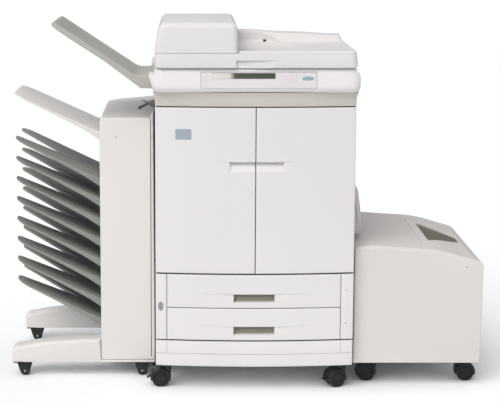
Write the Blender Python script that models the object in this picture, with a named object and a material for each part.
"""Floor-standing photocopier: main unit, document feeder, side paper feeder and sorting mailbox.

Metres. The front faces -Y, +X is to the right as seen from the front, and the floor is Z = 0.
"""

from math import cos, pi, radians, sin

import bmesh
import bpy
from mathutils import Matrix, Vector

# Gaps and walls
CLEARANCE = 0.0005
SEAM = 0.0025
SHEET = 0.003
COVER = 0.0042
SHELL = 0.004

# Main unit
BODY_LEFT, BODY_RIGHT = -0.3085, 0.3728
BODY_MIDDLE = (BODY_LEFT + BODY_RIGHT) / 2
BODY_HALF = (BODY_RIGHT - BODY_LEFT) / 2
FRONT, REAR = -0.325, 0.325
BOW = 0.022
FRAME_FRONT = -0.270
PLINTH_BOTTOM, STRIP_TOP = 0.092, 0.1825
DRAWER_BOTTOM, DRAWER_SPLIT, DRAWER_TOP = 0.187, 0.300, 0.4175
DOOR_BOTTOM, DOOR_TOP = 0.4225, 0.9945
DOOR_SEAM = 0.033
DOOR_THICKNESS = 0.024
NECK_BOTTOM, NECK_TOP = 0.9985, 1.0435
POST_LEFT, POST_RIGHT = -0.2705, 0.330
DOOR_GRIP_X, DOOR_GRIP_Z = (-0.054, 0.126), (0.775, 0.810)
DRAWER_GRIP_X, DRAWER_GRIP_HEIGHT, DRAWER_GRIP_RISE = (-0.039, 0.099), 0.027, 0.022
GRIP_BACK = -0.332
DRAWER_FRONT_BACK = -0.305
TRAY_X, TRAY_REAR = (-0.262, 0.321), 0.245
TRAY_HEIGHT = 0.088
TRAY_WALL = 0.003
HINGE_INSET = Vector((0.002, 0.022, 0))

# Power button, an oval in the left post
POWER_CENTRE = Vector((-0.291, 0, 0.304))
POWER_SIZE = (0.017, 0.031)
POWER_PROUD, POWER_DEPTH, POWER_TRAVEL = 0.001, 0.010, 0.002

# Folded multipurpose tray on the right side
BYPASS_Y = (-0.170, 0.210)
BYPASS_HINGE = Vector((0.380, 0.02, 0.534))
BYPASS_SLOT_X, BYPASS_SLOT_Y, BYPASS_SLOT_Z = (0.36, 0.38), (-0.150, 0.190), (0.560, 0.590)

# Scanner: each level is its height and how far it draws in at the left, at the right and in depth
SCANNER_X, SCANNER_Y, SCANNER_CORNER = (-0.331, 0.384), (-0.365, 0.325), 0.024
SCANNER_BOTTOM, SCANNER_TOP = 1.0462, 1.126
SCANNER_LEVELS = ((SCANNER_BOTTOM, 0.0175, 0.0070, 0.018), (1.050, 0.0165, 0.0045, 0.011),
                  (1.058, 0.0140, 0.0020, 0.004), (1.072, 0.0097, 0.0005, 0), (1.085, 0.0058, 0, 0),
                  (1.106, 0, 0.0030, 0), (1.1066, 0.0205, 0.0032, 0), (1.112, 0.0205, 0.0060, 0),
                  (1.119, 0.0205, 0.0115, 0.0005), (SCANNER_TOP, 0.0220, 0.0145, 0.003))
SCANNER_CAVITY_X, SCANNER_CAVITY_Y = (-0.300, 0.350), (-0.318, 0.312)
SCANNER_CAVITY_Z = (1.054, 1.1205)
GLASS_X, GLASS_Y, GLASS_THICKNESS = (-0.196, 0.258), (-0.176, 0.136), 0.0036
GLASS_LEDGE = 0.006
CARRIAGE_X, CARRIAGE_Y, CARRIAGE_Z = (-0.280, -0.235), (-0.300, 0.295), (1.060, 1.112)
PANEL_X = (-0.1535, 0.235)
PANEL_FOOT, PANEL_HEAD = Vector((0, -0.3625, 1.0632)), Vector((0, -0.344, 1.1155))
PANEL_THICKNESS = 0.009
SCREEN_X, SCREEN_UP = (-0.116, 0.0966), (0.032, 0.052)
SCREEN_POCKET = 0.003
START_CENTRE, START_HALF = (0.2056, 0.0334), (0.020, 0.0065)
START_PROUD, START_DEPTH, START_POCKET = 0.001, 0.0045, 0.007

# Document feeder (ADF)
ADF_X, ADF_Y = (-0.310, 0.374), (-0.355, 0.165)
ADF_BOTTOM, ADF_RIM, ADF_TOP = 1.1285, 1.186, 1.281
ADF_SPLIT_X, ADF_SPLIT_Z = -0.0255, 1.1785
ADF_FLOOR = 1.1795
ADF_CORNER = 0.022
ADF_BODY_LEVELS = ((ADF_BOTTOM, 0.004, 0.004, 0.004), (1.134, 0, 0, 0), (1.178, 0.001, 0.006, 0.001),
                   (ADF_RIM, 0.003, 0.010, 0.005))
ADF_COVER_LEVELS = ((ADF_SPLIT_Z + 0.001, 0.001, 0, 0.001), (1.225, 0.0045, 0.0015, 0.003),
                    (1.262, 0.014, 0.0035, 0.006), (1.275, 0.021, 0.0095, 0.010), (ADF_TOP, 0.031, 0.019, 0.024))
# Rear wall of the document tray: its top at each X, and how far back its slope starts and ends
ADF_WALL_TOPS = ((ADF_SPLIT_X, 1.224), (0.160, 1.216), (0.342, 1.208), (0.354, 1.203), (0.364, 1.187))
ADF_WALL_Y = (0.018, 0.075, 0.157)
# Scooped bed of the document tray: centre, half width and depth, and how square its corner is
BED_CENTRE, BED_HALVES, BED_SQUARENESS = (-0.020, -0.338), (0.220, 0.418), 3
ADF_EAR_X, ADF_EAR_Z = (-0.135, -0.115), (1.131, 1.200)
SCANNER_EARS_X, SCANNER_EAR_HALF = (-0.22, 0.28), 0.02
ADF_HINGE = Vector((0.032, 0.175, 1.150))
ADF_GRIP_X, ADF_GRIP_Z = (-0.035, 0.107), (1.133, 1.1555)
ROLLER_CENTRE = Vector((-0.125, -0.095, 1.192))
ROLLER_RADIUS, ROLLER_HALF, ROLLER_SHAFT = 0.011, 0.018, 0.003
EAR = 0.005

# Output wing on the left of the scanner
WING_Y = (-0.245, 0.100)
WING_SEAT_X, WING_SEAT_Z = (-0.34, -0.3105), (1.088, 1.12)

# Side paper feeder
FEEDER_X, FEEDER_Y, FEEDER_BOTTOM = (0.380, 0.827), (-0.285, 0.343), 0.088
FEEDER_CREST = ((0.380, 0.500), (0.437, 0.506), (0.540, 0.500), (0.651, 0.492),
                (0.709, 0.481), (0.755, 0.467), (0.810, 0.4515))
FEEDER_SHOULDER = (0.827, 0.436)
FEEDER_PARTITION = (0.598, 0.603)
LID_X, LID_Y, LID_THICKNESS = (0.629, 0.806), (-0.199, 0.257), 0.008
LID_LEDGE = 0.011
WINDOW_X, WINDOW_HALVES, WINDOW_Y = (0.657, 0.788), (0.152, 0.040), 0.029
WINDOW_TOP, WINDOW_THICKNESS = (0.489, 0.4565), 0.003
FEEDER_PLATE_X, FEEDER_PLATE_Y, FEEDER_PLATE_Z = (0.612, 0.800), (-0.170, 0.230), 0.110

# Mailbox
TOWER_X, TOWER_Y = (-0.507, -0.315), (-0.160, 0.365)
TOWER_BOTTOM, TOWER_TOP_LEFT, TOWER_TOP_RIGHT, TOWER_CORNER = 0.063, 0.943, 0.961, 0.025
BASE_BOTTOM, BASE_TOP = 0.054, 0.0622
FOOT_DEPTHS = ((-0.160, -0.085), (0.295, 0.365))
FOOT_TIP = -0.827
BIN_COUNT, BIN_PITCH = 8, 0.0733
BIN_Y = (-0.095, 0.215)
BIN_ROOT, BIN_TIP = -0.5075, -0.812
BIN_TOP, BIN_SLOPE, BIN_PLATE, BIN_RIB = 0.709, 0.477, 0.003, 0.003
BIN_NOTCH_APEX, BIN_NOTCH_HALF = -0.605, 0.062
TOP_TRAY_TOP, TOP_TRAY_SLOPE = 0.877, 0.451
EXIT_SLOT_Y, EXIT_SLOT_Z = (-0.085, 0.205), (0.004, 0.016)

# Casters
WHEEL_RADIUS, WHEEL_OUTER, WHEEL_INNER, AXLE_RADIUS = 0.031, 0.024, 0.004, 0.005
HOOD_OUTER, HOOD_INNER, HOOD_HALF, WEB_HALF = 0.036, 0.0325, 0.026, 0.003
CASTER_TRAIL = 0.020
MAIN_CASTERS = {"front_left": (-0.273, -0.255, 0), "front_right": (0.337, -0.255, 25),
                "rear_left": (-0.240, 0.255, 0), "rear_right": (0.304, 0.255, 0)}
FEEDER_CASTERS = {"front_left": (0.455, -0.186, 0), "front_right": (0.768, -0.186, 180),
                  "rear_left": (0.455, 0.244, 0), "rear_right": (0.768, 0.244, 180)}
SMALL_WHEEL_RADIUS, SMALL_WHEEL_HALF, SMALL_AXLE, CHEEK = 0.018, 0.008, 0.003, 0.004
SMALL_CASTERS = {"front_left": (-0.783, -0.132), "front_right": (-0.361, -0.132),
                 "rear_left": (-0.783, 0.325), "rear_right": (-0.361, 0.325)}

ROUND_SIDES = 20

# Colour (sRGB), roughness, metallic
LOOKS = {
    "white_shell": ((0.90, 0.89, 0.88), 0.45, 0.0),
    "warm_shell": ((0.86, 0.84, 0.82), 0.45, 0.0),
    "grey_shell": ((0.69, 0.68, 0.66), 0.50, 0.0),
    "dark_tray": ((0.47, 0.47, 0.42), 0.50, 0.0),
    "smoked_pane": ((0.42, 0.41, 0.34), 0.12, 0.0),
    "screen": ((0.30, 0.32, 0.27), 0.10, 0.0),
    "platen": ((0.78, 0.84, 0.83), 0.05, 0.0),
    "teal_key": ((0.45, 0.64, 0.68), 0.30, 0.0),
    "grey_key": ((0.62, 0.62, 0.60), 0.40, 0.0),
    "black_plastic": ((0.10, 0.11, 0.10), 0.50, 0.0),
    "black_rubber": ((0.07, 0.07, 0.07), 0.80, 0.0),
    "steel_sheet": ((0.72, 0.73, 0.73), 0.35, 0.9),
    "engine_grey": ((0.35, 0.36, 0.37), 0.50, 0.0),
}


def clear_scene():
    for obj in list(bpy.data.objects):
        bpy.data.objects.remove(obj, do_unlink=True)


def linear(value):
    """One sRGB channel as the linear value that a shader takes."""
    return value / 12.92 if value < 0.04045 else ((value + 0.055) / 1.055) ** 2.4


def finish(obj, look):
    """Gives the object a Principled material of its own."""
    colour, roughness, metallic = LOOKS[look]
    material = bpy.data.materials.new(obj.name)
    material.use_nodes = True
    shader = material.node_tree.nodes["Principled BSDF"]
    shader.inputs["Base Color"].default_value = (*map(linear, colour), 1)
    shader.inputs["Roughness"].default_value = roughness
    shader.inputs["Metallic"].default_value = metallic
    obj.data.materials.clear()
    obj.data.materials.append(material)
    return obj


def through(name, rings):
    """A closed solid whose skin runs through equal rings of points, capped at both ends."""
    shape = bmesh.new()
    loops = [[shape.verts.new(point) for point in ring] for ring in rings]
    for lower, upper in zip(loops, loops[1:]):
        for here in range(len(lower)):
            after = (here + 1) % len(lower)
            shape.faces.new((lower[here], lower[after], upper[after], upper[here]))
    shape.faces.new(loops[0])
    shape.faces.new(loops[-1])
    bmesh.ops.recalc_face_normals(shape, faces=shape.faces)
    mesh = bpy.data.meshes.new(name)
    shape.to_mesh(mesh)
    shape.free()
    obj = bpy.data.objects.new(name, mesh)
    bpy.context.scene.collection.objects.link(obj)
    return obj


def in_space(axis, first, second, along):
    """A point from two outline coordinates and a distance along the axis across them."""
    if axis == "X":
        return Vector((along, first, second))
    if axis == "Y":
        return Vector((first, along, second))
    return Vector((first, second, along))


def prism(name, outline, axis, span):
    """An outline (YZ, XZ or XY) extruded along X, Y or Z."""
    return through(name, [[in_space(axis, *point, along) for point in outline] for along in span])


def box(name, x, y, z):
    return prism(name, ((x[0], y[0]), (x[1], y[0]), (x[1], y[1]), (x[0], y[1])), "Z", z)


def circle(centre, radius, sides=ROUND_SIDES):
    """Points round a circle, one of them at its lowest."""
    angles = [2 * pi * side / sides - pi / 2 for side in range(sides)]
    return [(centre[0] + radius * cos(a), centre[1] + radius * sin(a)) for a in angles]


def ellipse(centre, halves, sides=ROUND_SIDES):
    return [(centre[0] + halves[0] * x, centre[1] + halves[1] * y) for x, y in circle((0, 0), 1, sides)]


def arc(centre, radius, first, last, steps):
    """Points of an arc between two angles in degrees."""
    angles = [radians(first + (last - first) * step / steps) for step in range(steps + 1)]
    return [(centre[0] + radius * cos(a), centre[1] + radius * sin(a)) for a in angles]


def turned(name, profile, axis, sides=ROUND_SIDES):
    """A solid of revolution about an axis through the origin. Its profile is (radius, distance) pairs."""
    rings = []
    for radius, along in profile:
        rings.append([in_space(axis, *point, along) for point in circle((0, 0), radius, sides)])
    return through(name, rings)


def rounded(x, y, radius, steps=4):
    """Plan outline of a rectangle with round corners."""
    outline = []
    corners = ((x[1], y[1], 0), (x[0], y[1], 90), (x[0], y[0], 180), (x[1], y[0], 270))
    for corner_x, corner_y, start in corners:
        centre_x = corner_x - radius if corner_x == x[1] else corner_x + radius
        centre_y = corner_y - radius if corner_y == y[1] else corner_y + radius
        outline += arc((centre_x, centre_y), radius, start, start + 90, steps)
    return outline


def stacked(name, x, y, radius, levels):
    """Rounded rectangles stacked up Z. Each level is (height, inset at left, at right, in depth)."""
    rings = []
    for height, left, right, depth in levels:
        outline = rounded((x[0] + left, x[1] - right), (y[0] + depth, y[1] - depth), radius)
        rings.append([Vector((*point, height)) for point in outline])
    return through(name, rings)


def widened(span, margin):
    return span[0] - margin, span[1] + margin


def combine(target, operation, others):
    """Cuts, joins or intersects the target with each other solid in turn, and uses them up."""
    for other in others:
        modifier = target.modifiers.new("combine", "BOOLEAN")
        modifier.solver = "EXACT"
        modifier.operation = operation
        modifier.object = other
        bpy.context.view_layer.update()
        graph = bpy.context.evaluated_depsgraph_get()
        shaped = bpy.data.meshes.new_from_object(target.evaluated_get(graph))
        target.modifiers.clear()
        target.data = shaped
        bpy.data.objects.remove(other, do_unlink=True)
    return target


def cut(target, *cutters):
    return combine(target, "DIFFERENCE", cutters)


def join(target, *others):
    return combine(target, "UNION", others)


def turn_about(obj, pivot):
    """Moves the object's origin to a point on its joint's axis, leaving its shape in place."""
    obj.data.transform(Matrix.Translation(-pivot))
    obj.location = pivot
    return obj


def smooth(obj):
    obj.data.shade_smooth()
    obj.data.set_sharp_from_angle(angle=radians(35))
    return obj


# Main unit: its front is one shallow bow in plan


def bow(x):
    across = (x - BODY_MIDDLE) / BODY_HALF
    return FRONT - BOW * (1 - across * across)


def bowed(x, back=None):
    """Plan outline with the bowed front between two X, flat at the back or as thick as a door."""
    steps = max(2, round((x[1] - x[0]) / 0.06))
    across = [x[0] + (x[1] - x[0]) * step / steps for step in range(steps + 1)]
    front = [(at, bow(at)) for at in across]
    if back is None:
        return front + [(at, bow(at) + DOOR_THICKNESS) for at in reversed(across)]
    return front + [(x[1], back), (x[0], back)]


def make_plinth():
    plinth = prism("base_plinth", bowed((BODY_LEFT, BODY_RIGHT), REAR), "Z", (PLINTH_BOTTOM, STRIP_TOP))
    inside = box("inside", (BODY_LEFT + 0.012, BODY_RIGHT - 0.012), (-0.310, 0.312), (0.100, 0.2))
    finish(cut(plinth, inside), "white_shell")


def make_chassis():
    x = (BODY_LEFT + COVER + CLEARANCE, BODY_RIGHT - COVER - CLEARANCE)
    y = (FRAME_FRONT, REAR - COVER - SHEET)
    chassis = box("chassis", x, y, (STRIP_TOP + CLEARANCE, NECK_TOP))
    inner_x, inner_y = widened(x, -SHEET), (FRONT, y[1] - SHEET)
    floors = (STRIP_TOP + SHEET, DRAWER_TOP + SHEET, DOOR_TOP, NECK_TOP)
    for lower, upper in zip(floors, floors[1:]):
        cut(chassis, box("bay", inner_x, inner_y, (lower + CLEARANCE, upper - SHEET)))
    for floor in (DRAWER_BOTTOM, DRAWER_SPLIT):
        rail_z = (floor + 0.045, floor + 0.057)
        left = box("rail", (x[0] + SHEET / 2, TRAY_X[0] - SEAM), (FRAME_FRONT + 0.01, 0.30), rail_z)
        right = box("rail", (TRAY_X[1] + SEAM, x[1] - SHEET / 2), (FRAME_FRONT + 0.01, 0.30), rail_z)
        join(chassis, left, right)
    slot = box("slot", BYPASS_SLOT_X, BYPASS_SLOT_Y, BYPASS_SLOT_Z)
    finish(cut(chassis, slot), "steel_sheet")


def make_front_frame():
    """The neck under the scanner, the two posts beside the drawers, and the rails behind the doors."""
    back = FRAME_FRONT - CLEARANCE
    frame = prism("front_frame", bowed((BODY_LEFT, BODY_RIGHT), back), "Z", (NECK_BOTTOM, NECK_TOP))
    post_z = (DRAWER_BOTTOM, DRAWER_TOP)
    rail_y, rail_z = (-0.2975, back), (DRAWER_BOTTOM, NECK_BOTTOM + 0.01)
    for x in ((BODY_LEFT, POST_LEFT), (POST_RIGHT, BODY_RIGHT)):
        join(frame, box("rail", x, rail_y, rail_z), prism("post", bowed(x, back), "Z", post_z))
    socket = widened((0, POWER_DEPTH + POWER_TRAVEL), 0.002)
    face = bow(POWER_CENTRE.x)
    halves = [size / 2 + CLEARANCE for size in POWER_SIZE]
    hole = ellipse((POWER_CENTRE.x, POWER_CENTRE.z), halves)
    cut(frame, prism("socket", hole, "Y", (face + socket[0], face + socket[1])))
    finish(frame, "white_shell")


def make_power_button():
    face = bow(POWER_CENTRE.x)
    outline = ellipse((POWER_CENTRE.x, POWER_CENTRE.z), [size / 2 for size in POWER_SIZE])
    button = prism("power_button", outline, "Y", (face - POWER_PROUD, face + POWER_DEPTH))
    finish(smooth(turn_about(button, Vector((POWER_CENTRE.x, face, POWER_CENTRE.z)))), "grey_key")


def make_side_panels():
    y, z = (FRAME_FRONT, REAR - COVER - SHEET), (DRAWER_BOTTOM, NECK_TOP)
    left = box("left_side_panel", (BODY_LEFT, BODY_LEFT + COVER), y, z)
    right = box("right_side_panel", (BODY_RIGHT - COVER, BODY_RIGHT), y, z)
    bulge = ((BODY_RIGHT - 0.002, 0.800), (BODY_RIGHT + 0.007, 0.815),
             (BODY_RIGHT + 0.007, 0.930), (BODY_RIGHT - 0.002, 0.945))
    join(right, prism("bulge", bulge, "Y", (-0.200, 0.200)))
    cut(right, box("slot", BYPASS_SLOT_X, BYPASS_SLOT_Y, BYPASS_SLOT_Z))
    finish(left, "white_shell")
    finish(right, "white_shell")


def make_rear_cover():
    """A flat cover with the power inlet and a row of air slots."""
    y = (REAR - COVER - SHEET + CLEARANCE, REAR)
    cover = box("rear_cover", (BODY_LEFT, BODY_RIGHT), y, (DRAWER_BOTTOM, NECK_TOP))
    cut(cover, box("inlet", (0.262, 0.312), (y[1] - 0.005, y[1] + 0.01), (0.215, 0.245)))
    for row in range(6):
        low = 0.52 + 0.030 * row
        cut(cover, box("vent", (-0.22, 0.04), (y[0] - 0.01, y[1] + 0.01), (low, low + 0.007)))
    finish(cover, "white_shell")


def make_doors():
    grip = (DOOR_GRIP_X, (-0.40, GRIP_BACK), DOOR_GRIP_Z)
    z = (DOOR_BOTTOM, DOOR_TOP)
    left = prism("left_door", bowed((BODY_LEFT, DOOR_SEAM - SEAM / 2)), "Z", z)
    right = prism("right_door", bowed((DOOR_SEAM + SEAM / 2, BODY_RIGHT)), "Z", z)
    left_hinge = Vector((BODY_LEFT, FRONT, DOOR_BOTTOM)) + HINGE_INSET
    right_hinge = Vector((BODY_RIGHT, FRONT, DOOR_BOTTOM)) + Vector((-HINGE_INSET.x, HINGE_INSET.y, 0))
    finish(turn_about(cut(left, box("grip", *grip)), left_hinge), "white_shell")
    finish(turn_about(cut(right, box("grip", *grip)), right_hinge), "white_shell")


def make_drawer(name, bottom, top):
    """A bowed front with a finger recess, and the open paper tray behind it."""
    x = (POST_LEFT + SEAM * 0.6, POST_RIGHT - SEAM * 0.6)
    drawer = prism(name, bowed(x, DRAWER_FRONT_BACK), "Z", (bottom, top))
    tray_z = (bottom + 0.005, bottom + 0.005 + TRAY_HEIGHT)
    tray = box("tray", TRAY_X, (DRAWER_FRONT_BACK - 0.006, TRAY_REAR), tray_z)
    well_y = (DRAWER_FRONT_BACK + TRAY_WALL, TRAY_REAR - TRAY_WALL)
    well = box("well", widened(TRAY_X, -TRAY_WALL), well_y, (tray_z[0] + TRAY_WALL, top))
    grip_z = bottom + DRAWER_GRIP_RISE
    grip = box("grip", DRAWER_GRIP_X, (-0.40, GRIP_BACK), (grip_z, grip_z + DRAWER_GRIP_HEIGHT))
    cut(join(drawer, tray), well, grip)
    finish(turn_about(drawer, Vector((BODY_MIDDLE, DRAWER_FRONT_BACK, bottom))), "white_shell")


def make_lift_plate(name, drawer_bottom):
    low = drawer_bottom + 0.011
    plate = box(name, (-0.245, 0.300), (-0.290, 0.190), (low, low + SHEET))
    finish(turn_about(plate, Vector((BODY_MIDDLE, 0, low))), "steel_sheet")


def make_drawers():
    upper_bottom = DRAWER_SPLIT + SEAM / 2
    make_drawer("lower_drawer", DRAWER_BOTTOM, DRAWER_SPLIT - SEAM / 2)
    make_drawer("upper_drawer", upper_bottom, DRAWER_TOP)
    make_lift_plate("lower_lift_plate", DRAWER_BOTTOM)
    make_lift_plate("upper_lift_plate", upper_bottom)


def make_print_engine():
    """The inner cover behind the doors, with the drum's and the fuser's round ends."""
    engine = box("print_engine", (-0.250, 0.310), (-0.266, 0.250), (0.500, 0.930))
    cut(engine, box("inside", (-0.247, 0.307), (-0.260, 0.3), (0.503, 0.927)))
    for x, z, radius in ((-0.105, 0.700, 0.055), (0.060, 0.640, 0.040), (0.215, 0.800, 0.045)):
        join(engine, prism("end", circle((x, z), radius), "Y", (-0.278, -0.262)))
    finish(engine, "engine_grey")


def make_bypass_tray():
    """The multipurpose tray, folded up against the right side and hinged at its foot."""
    x = BODY_RIGHT + 0.0012
    outline = ((x, 0.531), (0.400, 0.522), (0.413, 0.536), (0.410, 0.612),
               (0.401, 0.679), (0.380, 0.704), (x, 0.709))
    tray = prism("multipurpose_tray", outline, "Y", BYPASS_Y)
    cut(tray, box("bed", (0.36, 0.388), widened(BYPASS_Y, -0.015), (0.550, 0.675)))
    finish(turn_about(tray, BYPASS_HINGE), "grey_shell")


# Scanner


def panel_frame():
    """Unit vectors up the control panel's slope and into it."""
    up = (PANEL_HEAD - PANEL_FOOT).normalized()
    return up, Vector((0, up.z, -up.y))


def on_panel(name, outline, span):
    """An outline (X, distance up the slope) extruded into the sloping panel."""
    up, inward = panel_frame()
    across = Vector((1, 0, 0))
    rings = [[PANEL_FOOT + across * x + up * rise + inward * depth for x, rise in outline] for depth in span]
    return through(name, rings)


def panel_rectangle(x, rise):
    return ((x[0], rise[0]), (x[1], rise[0]), (x[1], rise[1]), (x[0], rise[1]))


def make_scanner():
    scanner = stacked("scanner_housing", SCANNER_X, SCANNER_Y, SCANNER_CORNER, SCANNER_LEVELS)
    cut(scanner, box("cavity", SCANNER_CAVITY_X, SCANNER_CAVITY_Y, SCANNER_CAVITY_Z))
    seat = SCANNER_TOP - GLASS_THICKNESS - CLEARANCE
    window = box("window", widened(GLASS_X, -GLASS_LEDGE), widened(GLASS_Y, -GLASS_LEDGE), (1.11, 1.13))
    rebate = box("rebate", widened(GLASS_X, CLEARANCE), widened(GLASS_Y, CLEARANCE), (seat, 1.13))
    rise = (-CLEARANCE, (PANEL_HEAD - PANEL_FOOT).length + CLEARANCE)
    corner = panel_rectangle(widened(PANEL_X, CLEARANCE), rise)
    recess = on_panel("recess", corner, (-0.04, PANEL_THICKNESS + CLEARANCE))
    wing_seat = box("wing_seat", WING_SEAT_X, widened(WING_Y, 0.0015), WING_SEAT_Z)
    cut(scanner, window, rebate, recess, wing_seat)
    for x in SCANNER_EARS_X:
        span = (x - SCANNER_EAR_HALF, x + SCANNER_EAR_HALF)
        ear = box("ear", span, (ADF_HINGE.y - 0.007, ADF_HINGE.y + 0.007), (1.12, ADF_HINGE.z))
        barrel = prism("barrel", circle((ADF_HINGE.y, ADF_HINGE.z), 0.008), "X", span)
        join(scanner, ear, barrel)
    finish(scanner, "white_shell")


def make_platen_glass():
    seat = SCANNER_TOP - GLASS_THICKNESS
    finish(box("platen_glass", GLASS_X, GLASS_Y, (seat, SCANNER_TOP - 0.0002)), "platen")


def make_scan_carriage():
    """The lamp carriage under the glass, with its light slit."""
    carriage = box("scan_carriage", CARRIAGE_X, CARRIAGE_Y, CARRIAGE_Z)
    middle = sum(CARRIAGE_X) / 2
    slit = box("slit", (middle - 0.006, middle + 0.006), widened(CARRIAGE_Y, -0.03), (1.09, 1.12))
    cut(carriage, slit)
    finish(turn_about(carriage, Vector((middle, 0, CARRIAGE_Z[0]))), "black_plastic")


def make_control_panel():
    rise = (0, (PANEL_HEAD - PANEL_FOOT).length)
    panel = on_panel("control_panel", panel_rectangle(PANEL_X, rise), (0, PANEL_THICKNESS))
    pocket = on_panel("pocket", panel_rectangle(SCREEN_X, SCREEN_UP), (-0.01, SCREEN_POCKET))
    halves = [half + CLEARANCE for half in START_HALF]
    socket = on_panel("socket", ellipse(START_CENTRE, halves), (-0.01, START_POCKET))
    finish(cut(panel, pocket, socket), "grey_shell")


def make_touch_screen():
    outline = panel_rectangle(widened(SCREEN_X, -CLEARANCE), widened(SCREEN_UP, -CLEARANCE))
    finish(on_panel("touch_screen", outline, (0.0004, SCREEN_POCKET - CLEARANCE)), "screen")


def make_start_button():
    up = panel_frame()[0]
    button = on_panel("start_button", ellipse(START_CENTRE, START_HALF), (-START_PROUD, START_DEPTH))
    centre = PANEL_FOOT + Vector((START_CENTRE[0], 0, 0)) + up * START_CENTRE[1]
    finish(smooth(turn_about(button, centre)), "teal_key")


# Document feeder


def make_adf_wall():
    """The document tray's rear wall, sloping down towards the front and the right."""
    foot, crown, rear = ADF_WALL_Y
    rings = []
    for x, top in ADF_WALL_TOPS:
        profile = ((foot, 1.176), (rear, 1.176), (rear, top), (crown, top), (foot, ADF_RIM - 0.001))
        rings.append([Vector((x, *point)) for point in profile])
    return through("wall", rings)


def bed_outline():
    """Plan of the scooped bed: a quarter of a squarish ellipse, run on past the left edge of the tray."""
    (centre_x, centre_y), (half_x, half_y) = BED_CENTRE, BED_HALVES
    power = 2 / BED_SQUARENESS
    quarter = [(centre_x + half_x * cos(a) ** power, centre_y + half_y * sin(a) ** power)
               for a in (radians(8 * step) for step in range(1, 12))]
    far = centre_y + half_y
    return [(-0.050, centre_y), (centre_x + half_x, centre_y), *quarter, (centre_x, far), (-0.050, far)]


def make_adf_body():
    """Hollow base of the feeder: hopper on the left, document tray and its rear wall on the right."""
    adf = stacked("adf_body", ADF_X, ADF_Y, ADF_CORNER, ADF_BODY_LEVELS)
    join(adf, make_adf_wall())
    ledge = box("ledge", (-0.4, ADF_SPLIT_X), (-0.4, 0.2), (ADF_SPLIT_Z, 1.25))
    inside = box("inside", (-0.290, 0.350), (-0.335, 0.145), (1.1345, 1.1725))
    hopper = box("hopper", (-0.290, -0.060), (-0.300, 0.110), (1.15, 1.2))
    bed = prism("bed", bed_outline(), "Z", (ADF_FLOOR, 1.25))
    grip = box("grip", ADF_GRIP_X, (-0.36, -0.343), ADF_GRIP_Z)
    cut(adf, ledge, inside, hopper, bed, grip)
    for side in (-1, 1):
        near = ROLLER_CENTRE.y + side * (ROLLER_HALF + 0.002)
        ear_y = sorted((near, near + side * EAR))
        join(adf, box("ear", ADF_EAR_X, ear_y, ADF_EAR_Z))
    hole = circle((ROLLER_CENTRE.x, ROLLER_CENTRE.z), ROLLER_SHAFT + CLEARANCE)
    reach = ROLLER_HALF + EAR + 0.01
    cut(adf, prism("hole", hole, "Y", (ROLLER_CENTRE.y - reach, ROLLER_CENTRE.y + reach)))
    finish(turn_about(adf, ADF_HINGE), "white_shell")


def make_adf_feed_cover():
    """The tall cover over the feed rollers, hinged along its left foot."""
    foot = ADF_COVER_LEVELS[0][0]
    x = (ADF_X[0], ADF_SPLIT_X - 0.002)
    cover = stacked("adf_feed_cover", x, ADF_Y, 0.020, ADF_COVER_LEVELS)
    inside = box("inside", (-0.284, -0.050), (-0.338, 0.148), (1.17, 1.264))
    slot = box("slot", (-0.060, 0), (-0.300, 0.030), (1.17, foot + 0.009))
    cut(cover, inside, slot)
    finish(turn_about(cover, Vector((x[0] + 0.0005, -0.095, foot + 0.0005))), "white_shell")


def make_pickup_roller():
    half, shaft = ROLLER_HALF, ROLLER_HALF + EAR + 0.004
    profile = ((ROLLER_SHAFT, -shaft), (ROLLER_SHAFT, -half), (ROLLER_RADIUS, -half),
               (ROLLER_RADIUS, half), (ROLLER_SHAFT, half), (ROLLER_SHAFT, shaft))
    roller = smooth(turned("adf_pickup_roller", profile, "Y"))
    roller.location = ROLLER_CENTRE
    finish(roller, "black_rubber")


def make_output_wing():
    """The sloping tray on the scanner's left, thickening towards its root."""
    root = ((-0.355, 1.0495), (-0.3170, 1.0490), (-0.3228, 1.072), (-0.3276, 1.0895), (-0.3120, 1.0895),
            (-0.3120, 1.1035), (-0.3340, 1.0920))
    tip = ((-0.377, 1.0925), (-0.655, 1.2780), (-0.666, 1.2805), (-0.673, 1.2745), (-0.656, 1.2700))
    outline = (*root, *tip, (-0.369, 1.0573))
    finish(prism("output_wing", outline, "Y", WING_Y), "grey_shell")


# Side paper feeder


def crest(x):
    """Height of the feeder's top at X."""
    for (x0, z0), (x1, z1) in zip(FEEDER_CREST, FEEDER_CREST[1:]):
        if x <= x1:
            return z0 + (z1 - z0) * (x - x0) / (x1 - x0)
    return FEEDER_CREST[-1][1]


def under_crest(x, drop):
    """Points along the feeder's top between two X, lowered by drop."""
    inner = [at for at, _ in FEEDER_CREST if x[0] < at < x[1]]
    return [(at, crest(at) - drop) for at in (x[0], *inner, x[1])]


def slab_under_crest(name, x, y, drops):
    """A slab that follows the feeder's top, between two depths below it."""
    lower, upper = under_crest(x, drops[1]), under_crest(x, drops[0])
    return prism(name, lower + upper[::-1], "Y", y)


def window_prism(name, margin, heights):
    """The lid window's trapezoid, widened by a margin, between a lower and an upper sloping plane."""
    rings = []
    for heights_at_ends in heights:
        ring = []
        for end, sides in ((0, (-1, 1)), (1, (1, -1))):
            x = WINDOW_X[end] + (margin if end else -margin)
            for side in sides:
                y = WINDOW_Y + side * (WINDOW_HALVES[end] + margin)
                ring.append(Vector((x, y, heights_at_ends[end])))
        rings.append(ring)
    return through(name, rings)


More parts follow.
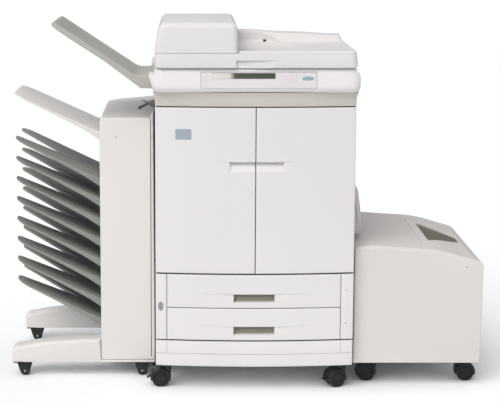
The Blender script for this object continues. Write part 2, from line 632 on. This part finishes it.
def make_feeder_housing():
    x, y = FEEDER_X, FEEDER_Y
    outline = [(x[0], FEEDER_BOTTOM), *FEEDER_CREST, FEEDER_SHOULDER, (x[1] - 0.004, FEEDER_BOTTOM)]
    housing = prism("feeder_housing", outline, "Y", y)
    inner_y = widened(y, -SHELL)
    floor = FEEDER_BOTTOM + 0.006
    for inner_x in ((x[0] + SHELL, FEEDER_PARTITION[0]), (FEEDER_PARTITION[1], 0.805)):
        top = under_crest(inner_x, LID_THICKNESS + 0.008)
        cavity = prism("cavity", [(inner_x[1], floor), (inner_x[0], floor), *top], "Y", inner_y)
        cut(housing, cavity)
    cut(housing, box("hatch", (0.47, 0.59), (-0.10, 0.16), (0.05, 0.12)))
    seat = slab_under_crest("seat", widened(LID_X, 0.0012), widened(LID_Y, 0.0012),
                            (-0.02, LID_THICKNESS + CLEARANCE))
    way_x, way_y = widened(LID_X, -LID_LEDGE), widened(LID_Y, -LID_LEDGE)
    finish(cut(housing, seat, box("way", way_x, way_y, (0.42, 0.55))), "warm_shell")


def make_feeder_lid():
    lid = slab_under_crest("feeder_lid", LID_X, LID_Y, (0, LID_THICKNESS))
    cut(lid, window_prism("opening", CLEARANCE, ((0.40, 0.40), (0.55, 0.55))))
    finish(turn_about(lid, Vector((LID_X[0] + 0.002, WINDOW_Y, crest(LID_X[0]) - 0.0015))), "warm_shell")


def make_feeder_window():
    lower = [height - WINDOW_THICKNESS for height in WINDOW_TOP]
    pane = window_prism("feeder_window", 0, (lower, WINDOW_TOP))
    finish(turn_about(pane, Vector((LID_X[0] + 0.002, WINDOW_Y, crest(LID_X[0]) - 0.0015))), "smoked_pane")


def make_feeder_plate():
    z = FEEDER_PLATE_Z
    plate = box("feeder_lift_plate", FEEDER_PLATE_X, FEEDER_PLATE_Y, (z, z + SHEET))
    finish(turn_about(plate, Vector((sum(FEEDER_PLATE_X) / 2, WINDOW_Y, z))), "steel_sheet")


# Mailbox


def bin_height(index):
    return BIN_TOP - BIN_PITCH * index


def make_tower():
    """Hollow tower with a sloping top and a paper exit above the root of each bin and of the top tray."""
    corner = arc((TOWER_X[0] + TOWER_CORNER, TOWER_TOP_LEFT - TOWER_CORNER), TOWER_CORNER, 95, 180, 5)
    outline = [(TOWER_X[0], TOWER_BOTTOM), (TOWER_X[1], TOWER_BOTTOM), (TOWER_X[1], TOWER_TOP_RIGHT), *corner]
    tower = prism("mailbox_tower", outline, "Y", TOWER_Y)
    inner_z = (TOWER_BOTTOM + SHELL, TOWER_TOP_LEFT - 0.020)
    cut(tower, box("inside", widened(TOWER_X, -SHELL), widened(TOWER_Y, -SHELL), inner_z))
    for root in (TOP_TRAY_TOP, *(bin_height(index) for index in range(BIN_COUNT))):
        slot_z = (root + EXIT_SLOT_Z[0], root + EXIT_SLOT_Z[1])
        cut(tower, box("exit", (TOWER_X[0] - 0.01, TOWER_X[0] + 0.01), EXIT_SLOT_Y, slot_z))
    finish(tower, "warm_shell")


def tray_outline(notched):
    """Plan of a sorting tray: round outer corners and, in the bins, a V notch in from the tip."""
    middle = sum(BIN_Y) / 2
    near = [(BIN_ROOT, BIN_Y[0]), (BIN_TIP + 0.045, BIN_Y[0])]
    near += [(BIN_TIP + 0.045 * (1 - sin(a)), BIN_Y[0] + 0.050 * (1 - cos(a)))
             for a in (radians(angle) for angle in (30, 60, 80))]
    if notched:
        lip = BIN_NOTCH_HALF + 0.004
        near += [(BIN_TIP, middle - lip), (BIN_NOTCH_APEX, middle - 0.003)]
    return near + [(x, 2 * middle - y) for x, y in reversed(near)]


def make_tray_mesh(name, slope, notched):
    """A sloping tray with its root's upper edge at the object's own zero height, and a rib on each side."""
    length = BIN_ROOT - BIN_TIP
    top = [(BIN_ROOT, 0), (BIN_TIP, slope * length)]
    depths = ((1.0, 0.004), (0.55, 0.010), (0.18, 0.018), (0.0, 0.029))
    bottom = [(BIN_ROOT - share * length, slope * share * length - depth) for share, depth in depths]
    tray = prism(name, top + bottom, "Y", BIN_Y)
    floor = [(BIN_ROOT + 0.02, -BIN_PLATE - slope * 0.02), (BIN_TIP - 0.02, slope * (length + 0.02) - BIN_PLATE)]
    hollow = floor + [(BIN_TIP - 0.02, -0.1), (BIN_ROOT + 0.02, -0.1)]
    cut(tray, prism("hollow", hollow, "Y", widened(BIN_Y, -BIN_RIB)))
    plan = prism("plan", tray_outline(notched), "Z", (-0.2, 0.3))
    return combine(tray, "INTERSECT", (plan,))


def make_bins():
    first = make_tray_mesh("bin_1", BIN_SLOPE, True)
    first.location.z = bin_height(0)
    finish(first, "dark_tray")
    for index in range(1, BIN_COUNT):
        tray = bpy.data.objects.new(f"bin_{index + 1}", first.data.copy())
        bpy.context.scene.collection.objects.link(tray)
        tray.location.z = bin_height(index)
        finish(tray, "dark_tray")


def make_top_tray():
    tray = make_tray_mesh("mailbox_top_tray", TOP_TRAY_SLOPE, False)
    tray.location.z = TOP_TRAY_TOP
    finish(tray, "warm_shell")


def foot_outline():
    """Side view of one foot: flat underneath, with a long low curve on top."""
    root = TOWER_X[0] - 0.0008
    tip = arc((FOOT_TIP + 0.022, 0.087), 0.022, 90, 180, 4)
    top = [(root, 0.138), (-0.580, 0.137), (-0.652, 0.133), (-0.759, 0.119)]
    tongue = [(TOWER_X[0] + 0.007, BASE_BOTTOM), (TOWER_X[0] + 0.007, BASE_TOP), (root, BASE_TOP)]
    return [(FOOT_TIP, 0.062), (FOOT_TIP + 0.008, BASE_BOTTOM), *tongue, *top, *tip]


def caster_cheeks(x, y):
    """Two cheek plates and a bridge that hold a small fixed wheel."""
    outline = ((x - 0.025, 0.056), (x - 0.012, 0.011), (x + 0.012, 0.011), (x + 0.025, 0.056))
    pieces = []
    for side in (-1, 1):
        near = y + side * (SMALL_WHEEL_HALF + 0.002)
        pieces.append(prism("cheek", outline, "Y", sorted((near, near + side * CHEEK))))
    width = SMALL_WHEEL_HALF + 0.002 + CHEEK
    pieces.append(box("bridge", (x - 0.020, x + 0.020), (y - width, y + width), (0.046, 0.056)))
    return pieces


def make_mailbox_base():
    """A plate under the tower, two long feet, the fixed casters' cheeks and the docking latch."""
    base = box("mailbox_base", widened(TOWER_X, -0.0005), TOWER_Y, (BASE_BOTTOM, BASE_TOP))
    for depth in FOOT_DEPTHS:
        join(base, prism("foot", foot_outline(), "Y", depth))
    join(base, box("latch", (-0.329, TOWER_X[1] - 0.0005), (-0.156, -0.130), (0.040, BASE_TOP - 0.001)))
    for x, y in SMALL_CASTERS.values():
        join(base, *caster_cheeks(x, y))
        hole = circle((x, SMALL_WHEEL_RADIUS), SMALL_AXLE + CLEARANCE, 12)
        cut(base, prism("hole", hole, "Y", (y - 0.02, y + 0.02)))
    finish(base, "warm_shell")


# Casters


def make_hood_mesh(height):
    """Caster hood about its swivel axis: a half-round cover, a web between the wheels, and a stem."""
    centre = (-CASTER_TRAIL, WHEEL_RADIUS)
    cover = arc(centre, HOOD_OUTER, -8, 188, 14) + arc(centre, HOOD_INNER, 188, -8, 14)
    hood = prism("hood", cover, "Y", (-HOOD_HALF, HOOD_HALF))
    reach = HOOD_OUTER - 0.0015
    web = ((centre[0] - 0.012, centre[1] - 0.010), (centre[0] + 0.012, centre[1] - 0.010),
           (centre[0] + 0.012, centre[1] + 0.032), (centre[0] - 0.012, centre[1] + 0.032))
    neck = arc(centre, reach, 105, 30, 5) + [(0.016, 0.083), (-0.022, 0.083)]
    join(hood, prism("web", web, "Y", (-WEB_HALF, WEB_HALF)), prism("neck", neck, "Y", (-0.014, 0.014)))
    join(hood, prism("stem", circle((0, 0), 0.022), "Z", (0.080, height)))
    cut(hood, prism("hole", circle(centre, AXLE_RADIUS + CLEARANCE), "Y", (-0.01, 0.01)))
    return hood


def make_twin_wheel_mesh():
    profile = ((0.010, -WHEEL_OUTER), (WHEEL_RADIUS - 0.003, -WHEEL_OUTER), (WHEEL_RADIUS, -WHEEL_OUTER + 0.003),
               (WHEEL_RADIUS, -WHEEL_INNER), (AXLE_RADIUS, -WHEEL_INNER))
    mirrored = tuple((radius, -along) for radius, along in reversed(profile))
    return turned("twin_wheel", profile + mirrored, "Y")


def make_casters(prefix, places, height):
    """Each caster is a hood that swivels and a twin wheel that turns in it."""
    hood_shape = make_hood_mesh(height)
    wheel_shape = make_twin_wheel_mesh()
    for place, (x, y, heading) in places.items():
        hood = bpy.data.objects.new(f"{prefix}_caster_hood_{place}", hood_shape.data.copy())
        wheel = bpy.data.objects.new(f"{prefix}_caster_wheel_{place}", wheel_shape.data.copy())
        hood.location = (x, y, 0)
        hood.rotation_euler.z = radians(heading)
        wheel.parent = hood
        wheel.location = (-CASTER_TRAIL, 0, WHEEL_RADIUS)
        for obj, look in ((hood, "black_plastic"), (wheel, "black_rubber")):
            bpy.context.scene.collection.objects.link(obj)
            finish(smooth(obj), look)
    bpy.data.objects.remove(hood_shape, do_unlink=True)
    bpy.data.objects.remove(wheel_shape, do_unlink=True)


def make_small_wheels():
    half, shaft = SMALL_WHEEL_HALF, SMALL_WHEEL_HALF + 0.002 + CHEEK
    side = ((SMALL_AXLE, -shaft), (SMALL_AXLE, -half), (SMALL_WHEEL_RADIUS, -half))
    profile = side + tuple((radius, -along) for radius, along in reversed(side))
    for place, (x, y) in SMALL_CASTERS.items():
        wheel = smooth(turned(f"mailbox_wheel_{place}", profile, "Y", 16))
        wheel.location = (x, y, SMALL_WHEEL_RADIUS)
        finish(wheel, "black_rubber")


def main():
    clear_scene()
    make_plinth()
    make_chassis()
    make_front_frame()
    make_power_button()
    make_side_panels()
    make_rear_cover()
    make_doors()
    make_drawers()
    make_print_engine()
    make_bypass_tray()
    make_scanner()
    make_platen_glass()
    make_scan_carriage()
    make_control_panel()
    make_touch_screen()
    make_start_button()
    make_adf_body()
    make_adf_feed_cover()
    make_pickup_roller()
    make_output_wing()
    make_feeder_housing()
    make_feeder_lid()
    make_feeder_window()
    make_feeder_plate()
    make_tower()
    make_mailbox_base()
    make_bins()
    make_top_tray()
    make_casters("main", MAIN_CASTERS, PLINTH_BOTTOM - CLEARANCE)
    make_casters("feeder", FEEDER_CASTERS, FEEDER_BOTTOM - CLEARANCE)
    make_small_wheels()


main()
